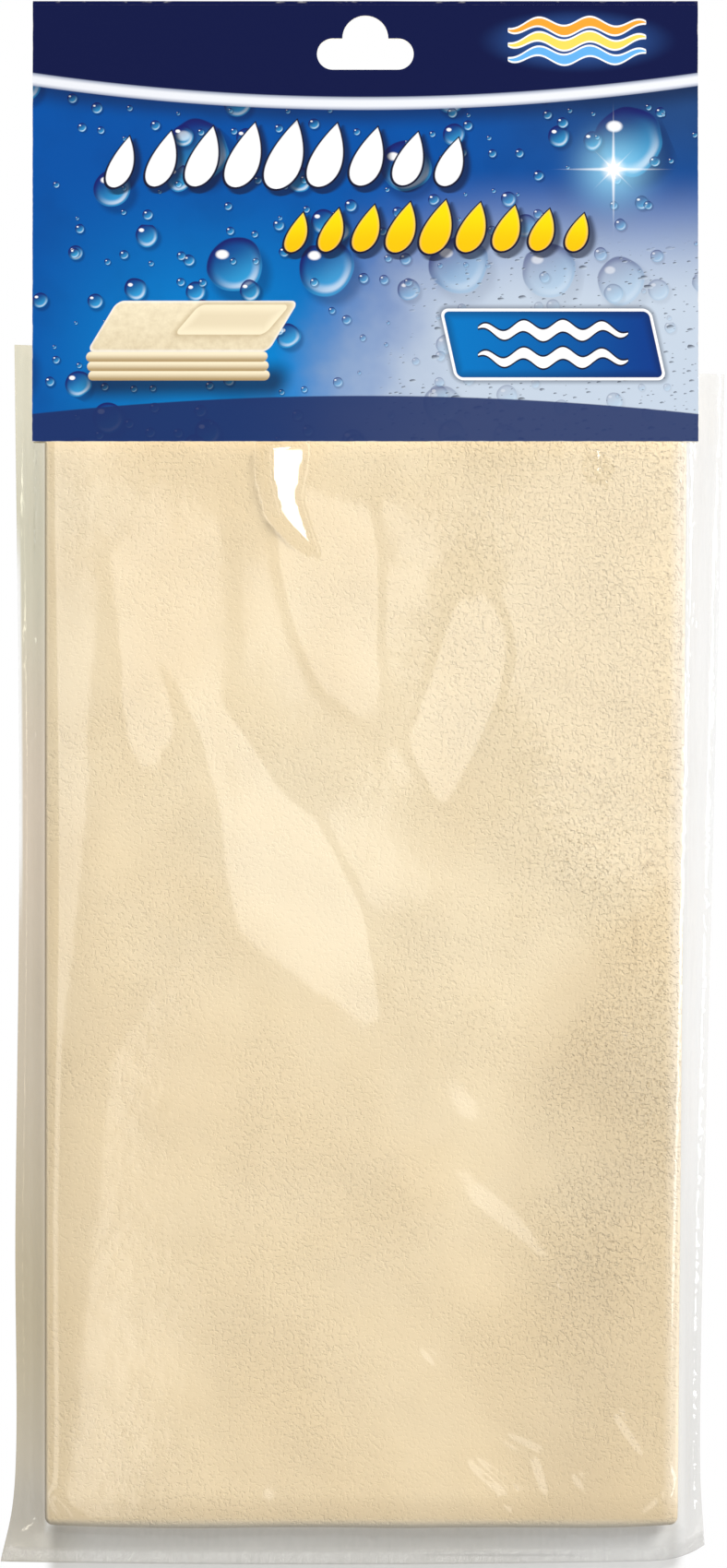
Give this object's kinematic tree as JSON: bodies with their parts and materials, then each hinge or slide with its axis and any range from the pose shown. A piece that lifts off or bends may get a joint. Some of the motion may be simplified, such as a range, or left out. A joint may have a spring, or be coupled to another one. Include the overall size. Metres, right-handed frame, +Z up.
{
  "type": "packed chamois leather",
  "caption": "Folded chamois leather in a clear hanging bag with a folded header card and hang slot; the back flap lifts on its crease and the skin shifts up in the bag.",
  "frame": {"origin": "crown of the hang slot, where the peg bears, midway between the card's two panels", "axes": "+Z up along the hanging pack, +Y towards its back, -Y towards its printed front, +X to the right as seen from the front"},
  "size_m": [0.2397, 0.0134, 0.5173],
  "materials": {
    "card_front": "printed and gloss coated",
    "card_back": "printed and gloss coated",
    "adhesive": "matt",
    "film": "clear, glossy, softly wrinkled",
    "chamois": "napped suede"
  },
  "bodies": {
    "pack": {"header_front_panel": "card_front", "header_crease": "card_front", "front_adhesive_strip": "adhesive", "bag_front_film": "film", "bag_back_film": "film", "bag_left_side_fold": "film", "bag_right_side_fold": "film", "bag_foot_weld": "film"},
    "back_flap": {"header_back_panel": "card_back", "back_adhesive_strip": "adhesive"},
    "folded_skin": {"chamois_skin": "chamois"}
  },
  "joints": [
    {"name": "flap_hinge", "type": "hinge", "parent": "pack", "child": "back_flap", "pos_m": [0, 0.0011, 0.00384], "axis": [1, 0, 0], "range_deg": [0, 170]},
    {"name": "skin_slide", "type": "slide", "parent": "pack", "child": "folded_skin", "axis": [0, 0, 1], "range_m": [0, 0.01]}
  ]
}
